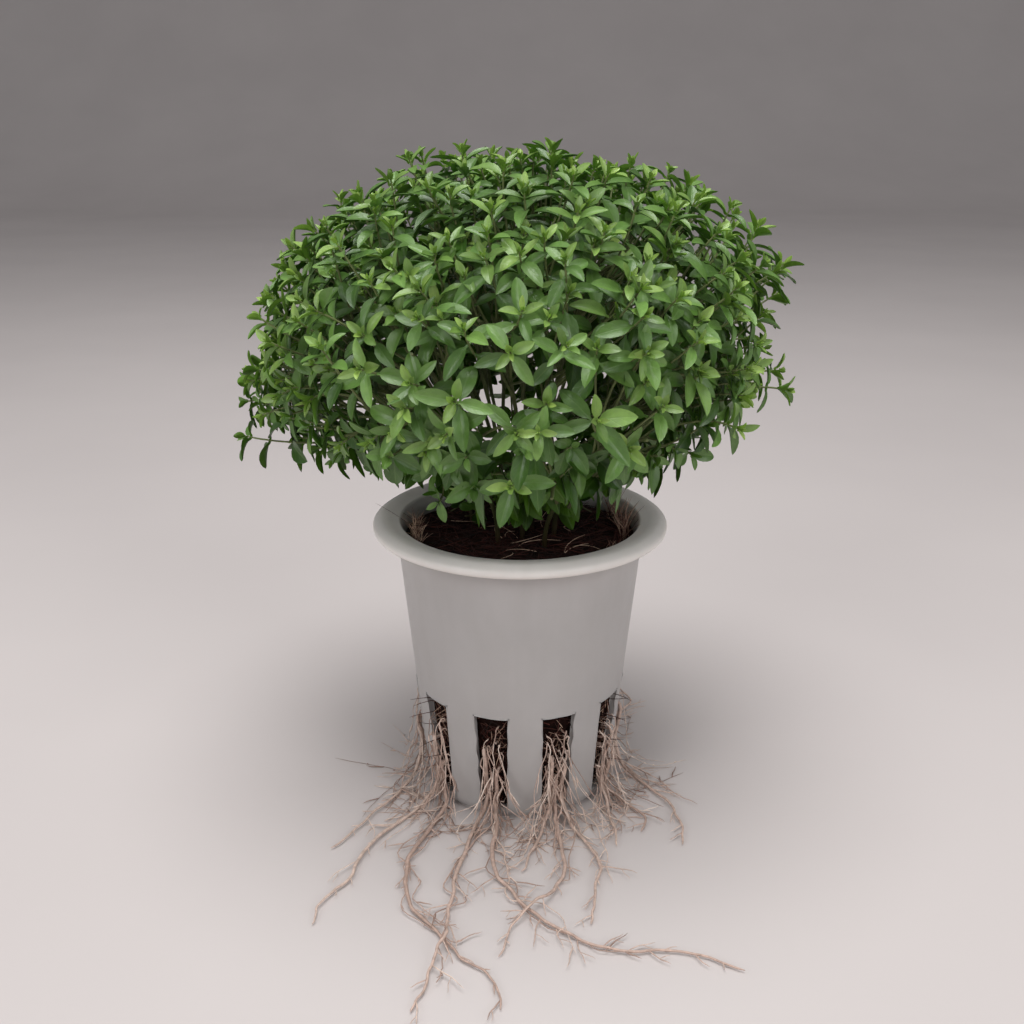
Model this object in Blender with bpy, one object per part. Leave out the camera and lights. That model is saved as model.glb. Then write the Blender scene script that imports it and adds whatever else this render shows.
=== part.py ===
"""Bush basil growing in a slotted plastic net pot, with its roots trailing out through the slots.

Metres, +Z up. The origin is the centre of the pot's underside, on the surface it stands on.
The plants' fan and the dome of leaves are round the pot's axis, and -Y is the front.
"""

import bpy
import bmesh
from math import acos, asin, atan2, cos, pi, radians, sin, sqrt
from mathutils import Matrix, Vector

# Net pot
POT_HEIGHT = 0.0600
LIP_RADIUS = 0.0300
LIP_THICKNESS = 0.0021
LIP_CROWN = 0.0005
TOP_RADIUS = 0.0252
FOOT_RADIUS = 0.0196
WALL = 0.0012
FLOOR = 0.0014
FOOT_RECESS = 0.0010
FOOT_HEIGHT = 0.0013
SLOT_COUNT = 10
RIB_WIDTH = 0.0069
SLOT_BOTTOM = 0.0030
SLOT_TOP = 0.0245
DRAIN_WIDTH = 0.0020
DRAIN_START = 0.0060
DRAIN_END = 0.0150
POT_TURN = radians(2.7)
POT_FACETS = 60

# Fits between pieces
GAP = 0.0003

# Coir plug
HEADSPACE = 0.0035
COIR_FACETS = 30
COIR_ROUGHNESS = 0.0004

# Stems
PLANT_COUNT = 11
PLANTING_RADIUS = 0.0115
PLANTING_DEPTH = 0.0050
STEM_RADIUS = 0.0007
STEM_TIP_RADIUS = 0.0005
STEM_UPRIGHT = 0.45
STEM_SHARE = 0.45
STEM_SEGMENTS = 6
TIP_SHARE = 0.91
ROUTE_STEPS = 24

# Dome of foliage
FOLIAGE_RADIUS = 0.0530
FOLIAGE_RISE = 0.0385
FOLIAGE_DROP = 0.0310
FOLIAGE_LIFT = 0.0350
FOLIAGE_OFFSET = -0.0010
CROWN_ANGLE = radians(120)

# Shoots and leaves
SHOOTS_PER_PLANT = 3
SHOOT_RADIUS = 0.00040
SHOOT_SPREAD = radians(19)
SHOOT_BEND = 0.4
BUD_LENGTH = 0.0008
LEAF_LENGTH = 0.0080
LEAF_WIDTH = 0.0034
LEAF_THICKNESS = 0.00035
LEAF_BASE = 0.0008
# Each pair: distance back from the shoot's end, leaf length as a share of LEAF_LENGTH, rise above square
LEAF_PAIRS = ((0.0165, 0.60, radians(10)), (0.0115, 0.80, radians(18)), (0.0070, 0.95, radians(28)),
              (0.0032, 1.00, radians(42)), (0.0000, 0.75, radians(62)))
# Down a leaf from its base: share of its length, half width as a share of LEAF_WIDTH, backward bend
LEAF_OUTLINE = ((0.42, 0.50, radians(0)), (0.33, 0.36, radians(18)))
LEAF_TIP_SHARE = 0.25
LEAF_TIP_BEND = radians(40)

# Roots
ROOT_RADIUS = 0.0007
ROOT_TIP_RADIUS = 0.00028
ROOTLET_LENGTH = 0.0045
ROOTLET_BASE = 0.0010
ROOTLET_STEP = 2
LYING_HEIGHT = 0.0010
FLOOR_CLEARANCE = 0.0001
ROOT_STEPS = 2
MILLIMETRE = 0.001
# Each root: its slot, the height of its mouth, its offset across the slot, then its way down and along
# the surface in millimetres: out from the pot's foot, sideways from the slot, and up
ROOTS = (
    (9, 0.0120, 0.0010, ((10, 2, 2.6), (17, 5, 0.9), (23, 10, 0.9), (28, 17, 0.9), (32, 25, 0.8),
                         (32, 33, 0.8), (30, 43, 0.7), (31, 53, 0.6))),
    (9, 0.0165, -0.0014, ((12, -3, 3.0), (20, -2, 0.9), (28, 0, 0.9), (34, 1, 1.2), (39, 2, 2.8),
                          (44, 2, 1.2), (50, 2, 0.8), (55, 2, 0.6))),
    (8, 0.0100, 0.0010, ((12, 6, 2.2), (17, 12, 0.9), (22, 17, 0.9), (25, 24, 0.8), (26, 34, 0.8),
                         (26, 40, 0.8), (25, 47, 0.7), (28, 54, 0.6))),
    (8, 0.0150, -0.0012, ((13, -2, 3.0), (21, 4, 0.9), (30, 10, 0.8), (37, 13, 0.8), (42, 17, 0.6))),
    (7, 0.0140, 0.0008, ((6, 8, 3.0), (10, 15, 0.9), (14, 21, 0.8), (19, 28, 0.6))),
    (0, 0.0150, -0.0015, ((8, -6, 3.0), (12, -10, 0.9), (15, -13, 0.6))),
    (0, 0.0090, 0.0000, ((10, -2, 2.2), (16, -4, 0.9), (22, -9, 0.9), (26, -14, 2.8), (29, -20, 0.9),
                         (35, -25, 0.6))),
    (0, 0.0130, 0.0016, ((9, 3, 2.6), (17, 2, 0.9), (22, 0, 0.9), (29, -4, 0.8), (33, -7, 0.6))),
    (1, 0.0130, -0.0006, ((7, -5, 2.6), (10, -10, 0.9), (12, -14, 0.6))),
    (1, 0.0090, 0.0014, ((8, 1, 1.6), (12, -2, 0.9), (14, -7, 0.6))),
    (2, 0.0150, 0.0005, ((7, -8, 3.0), (11, -16, 0.9), (12, -23, 0.8), (11, -30, 0.6))),
    (3, 0.0120, 0.0000, ((11, 2, 2.2), (19, 5, 0.9), (23, 12, 0.6))),
    (4, 0.0100, 0.0006, ((12, 2, 2.2), (21, 2, 0.9), (29, -1, 0.6))),
    (5, 0.0110, 0.0000, ((12, -1, 2.2), (19, 1, 0.9), (25, -1, 0.6))),
)

GOLDEN_ANGLE = pi * (3 - sqrt(5))
UP = Vector((0, 0, 1))


# ---------------------------------------------------------------- materials

def make_material(name, colour, roughness):
    material = bpy.data.materials.new(name)
    material.use_nodes = True
    shader = material.node_tree.nodes["Principled BSDF"]
    shader.inputs["Base Color"].default_value = (*colour, 1)
    shader.inputs["Roughness"].default_value = roughness
    shader.inputs["Metallic"].default_value = 0
    material.diffuse_color = (*colour, 1)
    return material


# ---------------------------------------------------------------- mesh helpers

def add_object(name, mesh_builder, material, smooth_angle=None):
    mesh = bpy.data.meshes.new(name)
    bmesh.ops.recalc_face_normals(mesh_builder, faces=mesh_builder.faces)
    mesh_builder.to_mesh(mesh)
    mesh_builder.free()
    if material:
        mesh.materials.append(material)
    piece = bpy.data.objects.new(name, mesh)
    bpy.context.scene.collection.objects.link(piece)
    if smooth_angle:
        mesh.shade_smooth()
        mesh.set_sharp_from_angle(angle=smooth_angle)
    return piece


def cut(piece, cutter):
    cutter.hide_render = True
    cutter.display_type = "WIRE"
    modifier = piece.modifiers.new("cut_" + cutter.name, "BOOLEAN")
    modifier.operation = "DIFFERENCE"
    modifier.solver = "EXACT"
    modifier.object = cutter


def turned(profile, facets, turn=0.0):
    """Solid of revolution: profile points (radius, height) start and end on the axis."""
    builder = bmesh.new()
    rings = []
    for radius, height in profile:
        if radius == 0:
            rings.append([builder.verts.new((0, 0, height))])
            continue
        angles = [turn + 2 * pi * k / facets for k in range(facets)]
        rings.append([builder.verts.new((radius * cos(a), radius * sin(a), height)) for a in angles])
    for lower, upper in zip(rings, rings[1:]):
        for k in range(facets):
            corners = [lower[k % len(lower)], lower[(k + 1) % len(lower)],
                       upper[(k + 1) % len(upper)], upper[k % len(upper)]]
            builder.faces.new(list(dict.fromkeys(corners)))
    return builder


def add_ring(builder, centre, side, top, half_width, half_depth, corners):
    """One ring of a tube: a regular polygon in the plane of the unit vectors side and top."""
    start = pi / corners
    angles = [start + 2 * pi * k / corners for k in range(corners)]
    spread = sqrt(2) if corners == 4 else 1
    return [builder.verts.new(centre + side * (cos(a) * half_width * spread)
                              + top * (sin(a) * half_depth * spread)) for a in angles]


def join_rings(builder, lower, upper):
    count = len(lower)
    return [builder.faces.new((lower[k], lower[(k + 1) % count], upper[(k + 1) % count], upper[k]))
            for k in range(count)]


def add_tube(builder, points, radii, corners, first_side=None):
    """Closed tapered tube through points. Returns the side faces of each segment and the side vectors."""
    tangents = []
    for index in range(len(points)):
        before = points[max(index - 1, 0)]
        after = points[min(index + 1, len(points) - 1)]
        tangents.append((after - before).normalized())
    side = first_side or tangents[0].orthogonal()
    rings, sides = [], []
    for point, radius, tangent in zip(points, radii, tangents):
        side = (side - tangent * side.dot(tangent)).normalized()
        rings.append(add_ring(builder, point, side, tangent.cross(side), radius, radius, corners))
        sides.append(side.copy())
    segments = [join_rings(builder, low, high) for low, high in zip(rings, rings[1:])]
    builder.faces.new(rings[0][::-1])
    builder.faces.new(rings[-1])
    return segments, sides, tangents


def smooth_route(control, steps):
    """Points along a Catmull-Rom curve through the control points."""
    padded = [control[0] * 2 - control[1]] + control + [control[-1] * 2 - control[-2]]
    route = []
    for before, start, end, after in zip(padded, padded[1:], padded[2:], padded[3:]):
        for step in range(steps):
            t = step / steps
            route.append(0.5 * (2 * start + (end - before) * t
                                + (2 * before - 5 * start + 4 * end - after) * t ** 2
                                + (3 * start - before - 3 * end + after) * t ** 3))
    route.append(control[-1])
    return route


def grow(builder, face, rings, tip):
    """Grow a limb out of a tube's side face: rings are lists of four points in the face's own order."""
    corners = list(face.verts)
    builder.faces.remove(face)
    for ring in rings:
        fresh = [builder.verts.new(point) for point in ring]
        join_rings(builder, corners, fresh)
        corners = fresh
    end = builder.verts.new(tip)
    for k in range(4):
        builder.faces.new((corners[k], corners[(k + 1) % 4], end))


def corner_signs(face, across, upward):
    """For each corner of a face: which side of its middle it is on, across and upward."""
    middle = face.calc_center_median()
    offsets = [vert.co - middle for vert in face.verts]
    return [(1 if o.dot(across) > 0 else -1, 1 if o.dot(upward) > 0 else -1) for o in offsets]


# ---------------------------------------------------------------- net pot

def outer_radius(height):
    """Outer wall radius of the pot's plain cone."""
    return FOOT_RADIUS + (TOP_RADIUS - FOOT_RADIUS) * height / (POT_HEIGHT - LIP_THICKNESS)


def inner_radius(height):
    return outer_radius(height) - WALL


def slot_angle(index):
    """Middle of slot number index. A rib stands at the front, turned by POT_TURN."""
    return -pi / 2 + POT_TURN + (index + 0.5) * 2 * pi / SLOT_COUNT


def pot_profile():
    under_lip = POT_HEIGHT - LIP_THICKNESS
    edge = LIP_THICKNESS / 2
    lip_edge = [(LIP_RADIUS - edge + edge * cos(a), POT_HEIGHT - LIP_CROWN - edge + edge * sin(a))
                for a in (radians(d) for d in (-70, -25, 25, 70))]
    foot = FOOT_RADIUS - FOOT_RECESS
    return [(0, 0), (foot, 0), (foot, FOOT_HEIGHT), (outer_radius(FOOT_HEIGHT), FOOT_HEIGHT),
            (outer_radius(under_lip), under_lip), *lip_edge,
            ((LIP_RADIUS + TOP_RADIUS) / 2, POT_HEIGHT), (inner_radius(POT_HEIGHT), POT_HEIGHT - LIP_CROWN),
            (inner_radius(FLOOR), FLOOR), (0, FLOOR)]


def add_block(builder, corners):
    """Solid with six faces from eight corners: four below, then the four above them."""
    verts = [builder.verts.new(corner) for corner in corners]
    for face in ((3, 2, 1, 0), (4, 5, 6, 7), (0, 1, 5, 4), (1, 2, 6, 5), (2, 3, 7, 6), (3, 0, 4, 7)):
        builder.faces.new([verts[k] for k in face])


def slot_cutters():
    """Wedges that leave ribs of one width: each slot narrows downwards as the cone does."""
    builder = bmesh.new()
    reach = LIP_RADIUS
    for index in range(SLOT_COUNT):
        turn = Matrix.Rotation(slot_angle(index), 3, "Z")
        corners = []
        for height in (SLOT_BOTTOM, SLOT_TOP):
            radius = outer_radius(height)
            half = radius * sin(pi / SLOT_COUNT) - RIB_WIDTH / 2 * cos(pi / SLOT_COUNT)
            start = radius - 3 * WALL
            corners += [turn @ Vector(p) for p in ((start, -half, height), (reach, -half, height),
                                                   (reach, half, height), (start, half, height))]
        add_block(builder, corners)
    return add_object("slot_cutters", builder, None)


def drain_cutters():
    builder = bmesh.new()
    half = DRAIN_WIDTH / 2
    for index in range(SLOT_COUNT):
        turn = Matrix.Rotation(slot_angle(index), 3, "Z")
        corners = []
        for height in (-FLOOR, 2 * FLOOR):
            corners += [turn @ Vector(p) for p in ((DRAIN_START, -half, height), (DRAIN_END, -half, height),
                                                   (DRAIN_END, half, height), (DRAIN_START, half, height))]
        add_block(builder, corners)
    return add_object("drain_cutters", builder, None)


def make_net_pot(material):
    pot = add_object("net_pot", turned(pot_profile(), POT_FACETS, POT_TURN), material, radians(35))
    cut(pot, slot_cutters())
    cut(pot, drain_cutters())


# ---------------------------------------------------------------- layout of the plants

def coir_top():
    return POT_HEIGHT - HEADSPACE


def dome_point(tilt, heading, scale=1.0):
    """Point of the foliage's dome. tilt is from straight up, heading is round the pot's axis."""
    rise = FOLIAGE_RISE if cos(tilt) > 0 else FOLIAGE_DROP
    out = FOLIAGE_RADIUS * scale * sin(tilt)
    return Vector((FOLIAGE_OFFSET + out * cos(heading), out * sin(heading),
                   POT_HEIGHT + FOLIAGE_LIFT + rise * scale * cos(tilt)))


def plant_heading(index):
    return index * GOLDEN_ANGLE


def plant_tilt(index):
    """Plants share the dome's area evenly, from the crown to its lower edge."""
    share = (index + 0.5) / PLANT_COUNT
    return 2 * asin(sqrt(share) * sin(CROWN_ANGLE / 2))


def planting_point(index):
    reach = PLANTING_RADIUS * sqrt((index + 0.5) / PLANT_COUNT)
    return Vector((reach * cos(plant_heading(index)), reach * sin(plant_heading(index)), coir_top()))


# ---------------------------------------------------------------- coir plug

def coir_profile():
    """The plug follows the pot's inside and stops below the lip, with a slightly uneven top."""
    low = FLOOR + GAP
    high = coir_top()
    edge = inner_radius(high) - GAP
    crown = [(edge * share, high + COIR_ROUGHNESS * sin(9 * share)) for share in (0.8, 0.55, 0.3)]
    return [(0, low), (inner_radius(low) - GAP, low), (edge, high), *crown, (0, high)]


def socket_cutters():
    """Holes in the coir that the stems are planted in."""
    builder = bmesh.new()
    corners = 8
    radius = (STEM_RADIUS * sqrt(2) + GAP) / cos(pi / corners)
    for index in range(PLANT_COUNT):
        top = planting_point(index)
        points = [top - UP * (PLANTING_DEPTH + GAP), top + UP * HEADSPACE]
        add_tube(builder, points, [radius, radius], corners)
    return add_object("socket_cutters", builder, None)


def make_coir_plug(material):
    plug = add_object("coir_plug", turned(coir_profile(), COIR_FACETS), material, radians(40))
    cut(plug, socket_cutters())


# ---------------------------------------------------------------- stems and shoots

def curve_between(start, bend, end, steps):
    """Quadratic curve that leaves start towards bend and arrives at end."""
    return [start.lerp(bend, k / steps).lerp(bend.lerp(end, k / steps), k / steps) for k in range(steps + 1)]


def walk(route, distance):
    """Point at a distance along a route."""
    for start, end in zip(route, route[1:]):
        length = (end - start).length
        if distance <= length:
            return start.lerp(end, distance / length)
        distance -= length
    return route[-1].copy()


def route_length(route):
    return sum((b - a).length for a, b in zip(route, route[1:]))


def direction_of(tilt, heading):
    return Vector((sin(tilt) * cos(heading), sin(tilt) * sin(heading), cos(tilt)))


def shoot_directions(index):
    """Tilt and heading of each of a plant's shoot tips, spread evenly round the plant's own direction."""
    centre = direction_of(plant_tilt(index), plant_heading(index))
    sideways = UP.cross(centre).normalized()
    upwards = centre.cross(sideways)
    tips = []
    for k in range(SHOOTS_PER_PLANT):
        turn = pi / 2 + 2 * pi * k / SHOOTS_PER_PLANT
        aim = centre * cos(SHOOT_SPREAD) + (sideways * cos(turn) + upwards * sin(turn)) * sin(SHOOT_SPREAD)
        tips.append((acos(aim.z), atan2(aim.y, aim.x)))
    return tips


def plant_route(index):
    """Way of a plant from its planting point, first straight up, to the dome."""
    start = planting_point(index)
    tip = dome_point(plant_tilt(index), plant_heading(index), TIP_SHARE)
    bend = start + UP * (tip.z - start.z) * STEM_UPRIGHT
    return curve_between(start, bend, tip, ROUTE_STEPS)


def stem_points(index):
    route = plant_route(index)
    reach = route_length(route) * STEM_SHARE
    above = [walk(route, reach * k / STEM_SEGMENTS) for k in range(STEM_SEGMENTS + 1)]
    return [above[0] - UP * PLANTING_DEPTH] + above


def make_stem(index, material):
    builder = bmesh.new()
    points = stem_points(index)
    last = len(points) - 1
    radii = [STEM_RADIUS + (STEM_TIP_RADIUS - STEM_RADIUS) * k / last for k in range(last + 1)]
    add_tube(builder, points, radii, 4)
    add_object(f"stem_{index + 1:02d}", builder, material)


def shoot_start(index, number, tip):
    """The first shoot goes on from the stem's end. The others start beside the stem, below it."""
    points = stem_points(index)
    if number == 0:
        ahead = (points[-1] - points[-2]).normalized()
        return points[-1] + ahead * GAP, ahead
    joint = points[-1 - number]
    ahead = (points[-number] - joint).normalized()
    aside = tip - joint
    aside = (aside - ahead * aside.dot(ahead)).normalized()
    clear = (STEM_RADIUS + SHOOT_RADIUS) * sqrt(2) + GAP
    return joint + aside * clear, ahead


def grow_leaf(builder, face, along, outward, size, lift):
    """Leaf from a side face of the shoot: it rises by the angle lift and arches back towards its tip."""
    length = LEAF_LENGTH * size
    across = along.cross(outward)
    signs = corner_signs(face, across, along)
    centre = face.calc_center_median()
    rings = []
    for share, half_width, bend in LEAF_OUTLINE:
        angle = lift - bend
        ahead = outward * cos(angle) + along * sin(angle)
        normal = along * cos(angle) - outward * sin(angle)
        centre = centre + ahead * (share * length)
        rings.append([centre + across * (right * half_width * LEAF_WIDTH * size)
                      + normal * (high * LEAF_THICKNESS / 2) for right, high in signs])
    angle = lift - LEAF_TIP_BEND
    tip = centre + (outward * cos(angle) + along * sin(angle)) * (LEAF_TIP_SHARE * length)
    grow(builder, face, rings, tip)


def make_shoot(index, number, tilt, heading, material):
    tip = dome_point(tilt, heading, TIP_SHARE)
    start, ahead = shoot_start(index, number, tip)
    route = curve_between(start, start + ahead * (tip - start).length * SHOOT_BEND, tip, ROUTE_STEPS)
    length = route_length(route)
    distances = [0]
    for back, *_ in LEAF_PAIRS:
        distances += [length - back - LEAF_BASE, length - back]
    points = [walk(route, d) for d in distances]
    points.append(points[-1] + (points[-1] - points[-2]).normalized() * BUD_LENGTH)
    radii = [SHOOT_RADIUS] * (len(points) - 1) + [SHOOT_RADIUS / 2]
    builder = bmesh.new()
    segments, sides, tangents = add_tube(builder, points, radii, 4)
    for level, (_, size, lift) in enumerate(LEAF_PAIRS):
        faces = segments[2 * level + 1]
        along = tangents[2 * level + 1]
        side = sides[2 * level + 1]
        top = along.cross(side)
        pair = ((faces[3], side), (faces[1], -side)) if level % 2 else ((faces[0], top), (faces[2], -top))
        for face, outward in pair:
            grow_leaf(builder, face, along, outward, size, lift)
    name = f"shoot_{index + 1:02d}_{'abc'[number]}"
    add_object(name, builder, material)


# ---------------------------------------------------------------- roots

def root_route(slot, height, aside, floor_points):
    """From the coir's face, out through the slot, then down and along the surface."""
    angle = slot_angle(slot)
    outward = Vector((cos(angle), sin(angle), 0))
    sideways = UP.cross(outward)
    start = outward * inner_radius(height) + sideways * aside + UP * height
    mouth = outward * (outer_radius(height) + ROOT_RADIUS) + sideways * aside + UP * height
    foot = outward * FOOT_RADIUS
    onward = [foot + (outward * out + sideways * side + UP * up) * MILLIMETRE
              for out, side, up in floor_points]
    return [start, mouth] + smooth_route([mouth] + onward, ROOT_STEPS)[1:]


def grow_rootlet(builder, face, along, outward, length):
    across = along.cross(outward)
    signs = corner_signs(face, across, along)
    centre = face.calc_center_median()
    ahead = outward + along
    ahead.z = 0
    ahead.normalize()
    normal = (along - outward).normalized()
    half = ROOT_TIP_RADIUS
    rings = []
    for step in range(2):
        centre = centre + ahead * (length / 3)
        centre.z = half + FLOOR_CLEARANCE
        rings.append([centre + across * (right * half) + normal * (high * half) for right, high in signs])
    grow(builder, face, rings, centre + ahead * (length / 3))


def with_rootlet_bases(route):
    """The route with a short stretch added wherever a rootlet grows, and the numbers of those stretches."""
    points, bases = [], []
    for number, (point, following) in enumerate(zip(route, route[1:])):
        points.append(point)
        if point.z < LYING_HEIGHT and number % ROOTLET_STEP == 0:
            bases.append(len(points) - 1)
            points.append(point + (following - point).normalized() * ROOTLET_BASE)
    return points + [route[-1]], bases


def make_root(number, slot, height, aside, floor_points, material):
    points, bases = with_rootlet_bases(root_route(slot, height, aside, floor_points))
    last = len(points) - 1
    radii = [ROOT_RADIUS + (ROOT_TIP_RADIUS - ROOT_RADIUS) * k / last for k in range(last + 1)]
    for point, radius in zip(points, radii):
        point.z = max(point.z, radius + FLOOR_CLEARANCE)
    builder = bmesh.new()
    segments, sides, tangents = add_tube(builder, points, radii, 4, UP.cross(points[1] - points[0]))
    for level in bases:
        inside_of_bend = (tangents[level + 1] - tangents[level - 1]).dot(sides[level])
        face, outward = (segments[level][1], -sides[level])
        if inside_of_bend < 0:
            face, outward = (segments[level][3], sides[level])
        grow_rootlet(builder, face, tangents[level], outward, ROOTLET_LENGTH)
    add_object(f"root_{number:02d}", builder, material)


# ---------------------------------------------------------------- the whole plant

def clear_scene():
    for item in list(bpy.data.objects):
        bpy.data.objects.remove(item, do_unlink=True)


def main():
    clear_scene()
    plastic = make_material("white_plastic", (0.62, 0.60, 0.56), 0.45)
    coir = make_material("coir", (0.06, 0.025, 0.015), 0.95)
    green_stem = make_material("stem", (0.30, 0.36, 0.16), 0.6)
    leaf = make_material("leaf", (0.10, 0.22, 0.04), 0.5)
    root = make_material("root", (0.48, 0.36, 0.28), 0.7)
    make_net_pot(plastic)
    make_coir_plug(coir)
    for index in range(PLANT_COUNT):
        make_stem(index, green_stem)
        for number, (tilt, heading) in enumerate(shoot_directions(index)):
            make_shoot(index, number, tilt, heading, leaf)
    for number, (slot, height, aside, floor_points) in enumerate(ROOTS, start=1):
        make_root(number, slot, height, aside, floor_points, root)


main()
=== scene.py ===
"""Looks of the bush basil in its net pot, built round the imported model. Metres, +Z up."""

from math import cos, hypot, pi, radians, sin, sqrt

import bpy
import numpy as np
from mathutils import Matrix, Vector


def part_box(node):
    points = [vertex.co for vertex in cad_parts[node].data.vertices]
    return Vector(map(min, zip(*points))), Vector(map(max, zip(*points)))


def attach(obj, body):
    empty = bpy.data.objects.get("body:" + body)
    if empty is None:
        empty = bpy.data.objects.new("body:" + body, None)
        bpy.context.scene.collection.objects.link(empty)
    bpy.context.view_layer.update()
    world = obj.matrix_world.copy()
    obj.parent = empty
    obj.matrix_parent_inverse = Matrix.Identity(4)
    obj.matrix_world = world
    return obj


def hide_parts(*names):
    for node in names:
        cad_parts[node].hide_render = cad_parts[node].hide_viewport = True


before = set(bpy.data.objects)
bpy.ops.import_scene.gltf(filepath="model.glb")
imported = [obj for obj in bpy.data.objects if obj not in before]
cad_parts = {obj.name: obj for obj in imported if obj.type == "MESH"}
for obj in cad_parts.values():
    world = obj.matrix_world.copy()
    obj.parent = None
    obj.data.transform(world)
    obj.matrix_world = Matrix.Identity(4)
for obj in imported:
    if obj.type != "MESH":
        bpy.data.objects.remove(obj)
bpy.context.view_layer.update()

MM = 0.001
GOLDEN_ANGLE = pi * (3 - sqrt(5))
UP = Vector((0, 0, 1))
chance = np.random.default_rng(11)


# ---- sizes taken from the frame

def node_radii(node):
    """Distances of a node's corners from the pot's axis."""
    return [hypot(v.co.x, v.co.y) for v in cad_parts[node].data.vertices]


def names_starting(prefix):
    """The nodes of one kind, in order."""
    return sorted(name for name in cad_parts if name.startswith(prefix))


SHOOTS = names_starting("shoot_")
STEMS = names_starting("stem_")
ROOT_NODES = names_starting("root_")

POT_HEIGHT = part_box("net_pot")[1].z
LIP_RADIUS = max(node_radii("net_pot"))
COIR_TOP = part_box("coir_plug")[1].z
COIR_RADIUS = max(node_radii("coir_plug"))
FOLIAGE_TOP = max(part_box(n)[1].z for n in SHOOTS)

# The net pot's own sizes
LIP_THICKNESS = 2.1 * MM
LIP_CROWN = 0.5 * MM
TOP_RADIUS = 25.2 * MM
FOOT_RADIUS = 19.6 * MM
WALL = 1.2 * MM
FLOOR = 1.4 * MM
FOOT_RECESS = 1.0 * MM
FOOT_HEIGHT = 1.3 * MM
SLOT_COUNT = 10
RIB_WIDTH = 6.9 * MM
SLOT_BOTTOM = 3.0 * MM
SLOT_TOP = 24.5 * MM
DRAIN_WIDTH = 2.0 * MM
DRAIN_START = 6.0 * MM
DRAIN_END = 15.0 * MM
POT_TURN = radians(2.7)
FOOT_FILLET = 0.3 * MM
LIP_FILLET = 0.8 * MM
LIP_EDGE = 0.7 * MM
EDGE_ROUNDING = 0.22 * MM
# Between the top of the slots and the plain wall, and across a slot and a rib
PLAIN_START = SLOT_TOP + 3 * MM
SLOT_CELLS, RIB_CELLS = 4, 5

# The coir: clearance to the wall, height of its lumps, and cells round it
COIR_CLEARANCE = 0.35 * MM
COIR_ROUGHNESS = 0.25 * MM
COIR_CELLS = 120
# Fibres lying on the coir, in each slot, and the hairs that stand out of the side slots and over the lip
LOOSE_FIBRES = 1500
SLOT_FIBRES = 130
HAIRY_SLOTS = (1, 8)
SIDE_HAIRS = 7
LIP_HAIRS = (radians(174), radians(183))

# The dome of leaves
DOME_CENTRE = Vector((-1.0 * MM, 0, POT_HEIGHT + 35 * MM))
DOME_RADIUS = 53.5 * MM
DOME_RISE = FOLIAGE_TOP - DOME_CENTRE.z + 0.6 * MM
DOME_DROP = 31 * MM
# Where the dome bulges or is drawn in: heading and tilt in degrees, share of its size, width in degrees
DOME_BULGES = ((0, 52, 0.09, 26), (183, 123, 0.26, 17), (185, 94, -0.04, 15), (5, 118, -0.04, 20))

# Twigs on the outside of the dome, inside it, low down, and between the stems
OUTER_TIPS = 450
INNER_TIPS = 70
LOW_TIPS = 140
BASE_TIPS = 40
# Radii at the foot and at the tip, in millimetres
STEM_RADII = (0.48, 0.36)
AXIS_RADII = (0.42, 0.28)
TWIG_RADII = (0.27, 0.17)
# Share of the twigs left out round the dome's widest part, where light shows through
GAP_SHARE = 0.30
# The largest rosettes at the front: heading and tilt in degrees, depth in millimetres, size
FRONT_ROSETTES = ((-91, 119, 1, 1.10), (-101, 90, 4, 1.10), (-75, 97, 4, 1.10), (-91, 78, 4, 1.00),
                  (-120, 84, 4, 1.10), (-66, 112, 5, 0.95))
ROSETTE_ROOM = radians(9)

# Pale curled fibres on the coir, and tufts along the wall: heading, width, count, height in millimetres
# and palest shade
PALE_FIBRES = 24
FIBRE_TUFTS = ((radians(8), 0.70, 120, 7.5, 0.90), (radians(-25), 0.40, 30, 4.0, 0.75),
               (radians(188), 0.45, 90, 5.5, 1.00), (radians(70), 2.6, 40, 2.0, 0.70))

# Roots beside each strand, and short ones round the pot's foot
COMPANIONS = 2
SKIRT_ROOTS = 170
# Radii at the start and at the tip, in millimetres
STRAND_RADII = (0.55, 0.18)
SIDE_ROOT_RADII = (0.17, 0.07)
HAIR_ROOT_RADII = (0.11, 0.05)

# Colours from dark to light, and of young, grown and old leaves
# The palest coir colour is partly the pale fibres' own colour and partly painted light, for tufts that stand
# in the leaves' shade.
COIR_COLOURS = ((0.006, 0.003, 0.002), (0.110, 0.028, 0.021), (0.84, 0.61, 0.46))
STEM_COLOURS = ((0.07, 0.08, 0.03), (0.16, 0.19, 0.08), (0.28, 0.36, 0.12))
ROOT_COLOURS = ((0.21, 0.125, 0.10), (0.57, 0.42, 0.36), (0.92, 0.79, 0.71))
LEAF_COLOURS = ((0.34, 0.50, 0.10), (0.165, 0.320, 0.062), (0.052, 0.155, 0.006))
UNDERSIDE_COLOURS = ((0.27, 0.42, 0.07), (0.13, 0.26, 0.03), (0.060, 0.150, 0.008))

# Light that comes through a leaf: its tint and its share
GLOW_TINT = (1.05, 1.35, 0.16)
GLOW_SHARE = 0.28
SIDE_VEINS = 4

# Lamps: name, place, size and power
LAMPS = (("overhead_softbox", (-0.02, -0.10, 0.85), 0.60, 5.4),
         ("left_softbox", (-0.55, -0.60, 0.50), 0.50, 2.2),
         ("right_softbox", (0.55, -0.60, 0.50), 0.50, 2.2))
SURROUND_STRENGTH = 0.31
CAMERA_PLACE = (-1.6 * MM, -213.9 * MM, 135 * MM)
CAMERA_PITCH = radians(19.28)
CAMERA_LENS = 39.0


# ---- meshes

def new_object(name, data):
    """A new object in the scene."""
    piece = bpy.data.objects.new(name, data)
    bpy.context.scene.collection.objects.link(piece)
    return piece


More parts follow.
